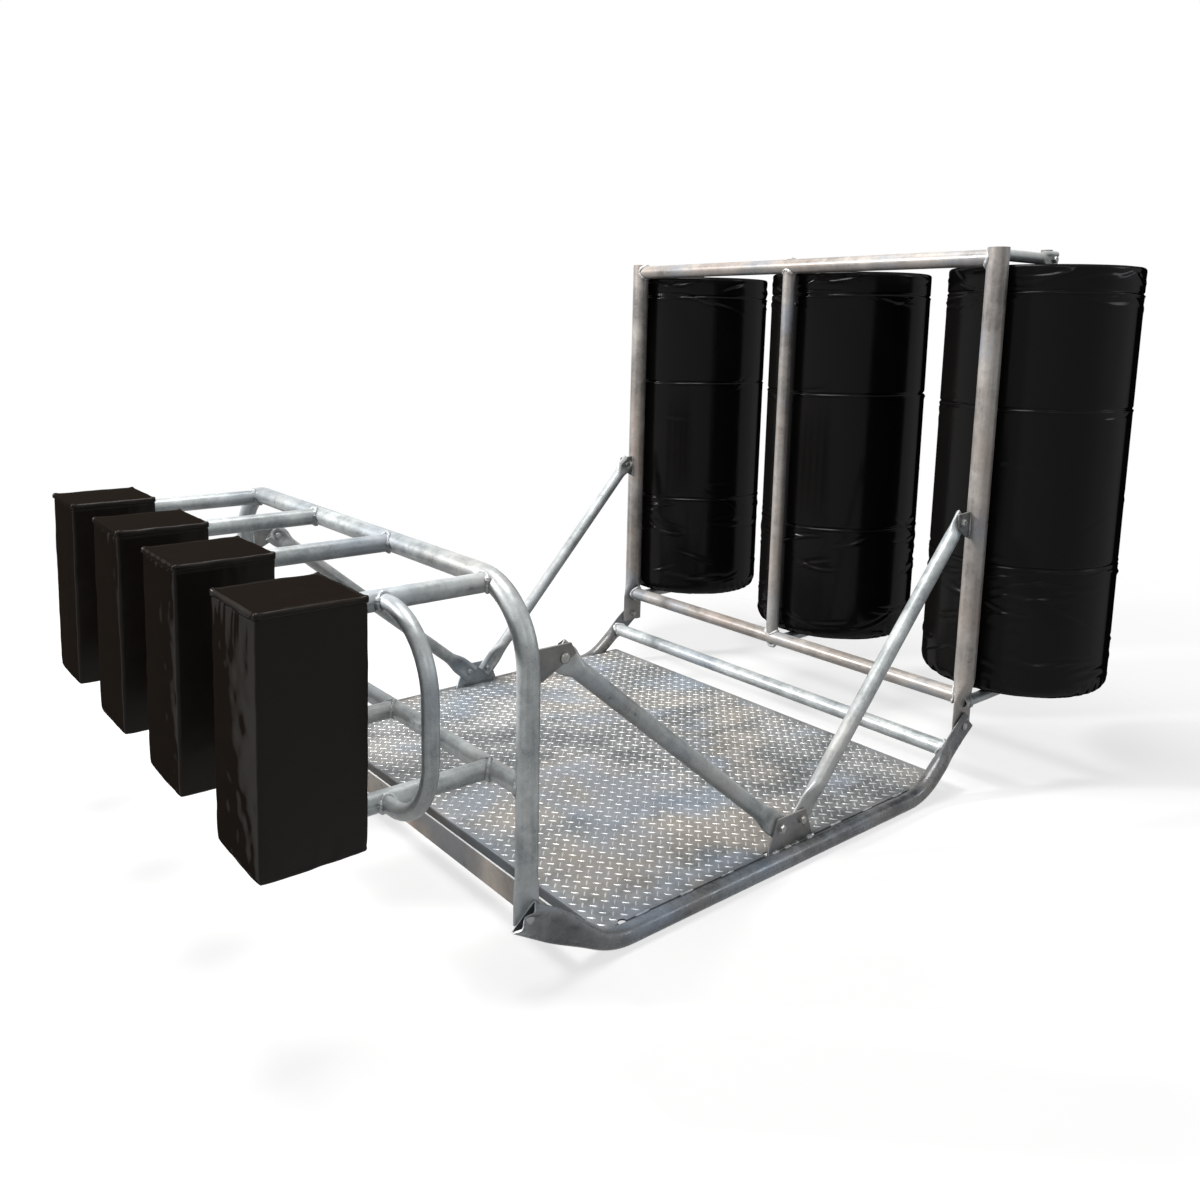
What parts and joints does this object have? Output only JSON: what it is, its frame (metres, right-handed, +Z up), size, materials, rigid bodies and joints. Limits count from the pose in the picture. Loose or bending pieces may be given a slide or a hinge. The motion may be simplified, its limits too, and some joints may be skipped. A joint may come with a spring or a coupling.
{
  "type": "rugby scrum and ruck training sled",
  "caption": "Galvanised skid sled with a tread plate deck, a scrum frame with block pads in front and a tall braced frame carrying cylindrical ruck bags behind.",
  "frame": {"origin": "middle of the overall box on the ground, under the deck", "axes": "+Z up, +X to the sled's right, the scrum pads face -Y and the ruck bags stand at +Y"},
  "size_m": [2.0134, 2.7642, 1.6196],
  "materials": {
    "galvanised_steel": "satin",
    "galvanised_tread_plate": "satin",
    "black_vinyl": "satin",
    "glossy_black_vinyl": "gloss",
    "zinc_plated_bolts": "satin"
  },
  "bodies": {
    "sled": {"bag_arm_bottom_1": "galvanised_steel", "bag_arm_bottom_2": "galvanised_steel", "bag_arm_bottom_3": "galvanised_steel", "bag_arm_top_1": "galvanised_steel", "bag_arm_top_2": "galvanised_steel", "bag_arm_top_3": "galvanised_steel", "bag_pole_1": "galvanised_steel", "bag_pole_2": "galvanised_steel", "bag_pole_3": "galvanised_steel", "base_gusset_left": "galvanised_steel", "base_gusset_right": "galvanised_steel", "deck_plate": "galvanised_tread_plate", "foot_bolt_front_left": "zinc_plated_bolts", "foot_bolt_front_right": "zinc_plated_bolts", "foot_bolt_rear_left": "zinc_plated_bolts", "foot_bolt_rear_right": "zinc_plated_bolts", "front_brace_left": "galvanised_steel", "front_brace_right": "galvanised_steel", "front_cross_angle": "galvanised_steel", "gusset_bolt_front_left": "zinc_plated_bolts", "gusset_bolt_front_right": "zinc_plated_bolts", "gusset_bolt_rear_left": "zinc_plated_bolts", "gusset_bolt_rear_right": "zinc_plated_bolts", "hoop_brace_bolt_left": "zinc_plated_bolts", "hoop_brace_bolt_right": "zinc_plated_bolts", "hoop_bracket_left": "galvanised_steel", "hoop_bracket_right": "galvanised_steel", "rear_brace_left": "galvanised_steel", "rear_brace_right": "galvanised_steel", "rear_cross_tube": "galvanised_steel", "ruck_bottom_rail": "galvanised_steel", "ruck_brace_bolt_left": "zinc_plated_bolts", "ruck_brace_bolt_right": "zinc_plated_bolts", "ruck_bracket_left": "galvanised_steel", "ruck_bracket_right": "galvanised_steel", "ruck_mid_post": "galvanised_steel", "ruck_post_left": "galvanised_steel", "ruck_post_right": "galvanised_steel", "ruck_top_rail": "galvanised_steel", "scrum_arm_lower_1": "galvanised_steel", "scrum_arm_lower_2": "galvanised_steel", "scrum_arm_lower_3": "galvanised_steel", "scrum_arm_lower_4": "galvanised_steel", "scrum_arm_upper_1": "galvanised_steel", "scrum_arm_upper_2": "galvanised_steel", "scrum_arm_upper_3": "galvanised_steel", "scrum_arm_upper_4": "galvanised_steel", "scrum_hoop": "galvanised_steel", "scrum_mid_rail": "galvanised_steel", "scrum_pad_1": "black_vinyl", "scrum_pad_2": "black_vinyl", "scrum_pad_3": "black_vinyl", "scrum_pad_4": "black_vinyl", "side_loop_left": "galvanised_steel", "side_loop_right": "galvanised_steel", "skid_rail_left": "galvanised_steel", "skid_rail_right": "galvanised_steel"},
    "bag_1": {"ruck_bag_1": "glossy_black_vinyl"},
    "bag_2": {"ruck_bag_2": "glossy_black_vinyl"},
    "bag_3": {"ruck_bag_3": "glossy_black_vinyl"}
  },
  "joints": [
    {"name": "bag_1_turn", "type": "hinge", "parent": "sled", "child": "bag_1", "pos_m": [-0.7287, 1.10407, 0.926], "axis": [0, 0, 1], "continuous": true},
    {"name": "bag_2_turn", "type": "hinge", "parent": "sled", "child": "bag_2", "pos_m": [0.0211, 1.10407, 0.926], "axis": [0, 0, 1], "continuous": true},
    {"name": "bag_3_turn", "type": "hinge", "parent": "sled", "child": "bag_3", "pos_m": [0.7287, 1.10407, 0.926], "axis": [0, 0, 1], "continuous": true}
  ]
}
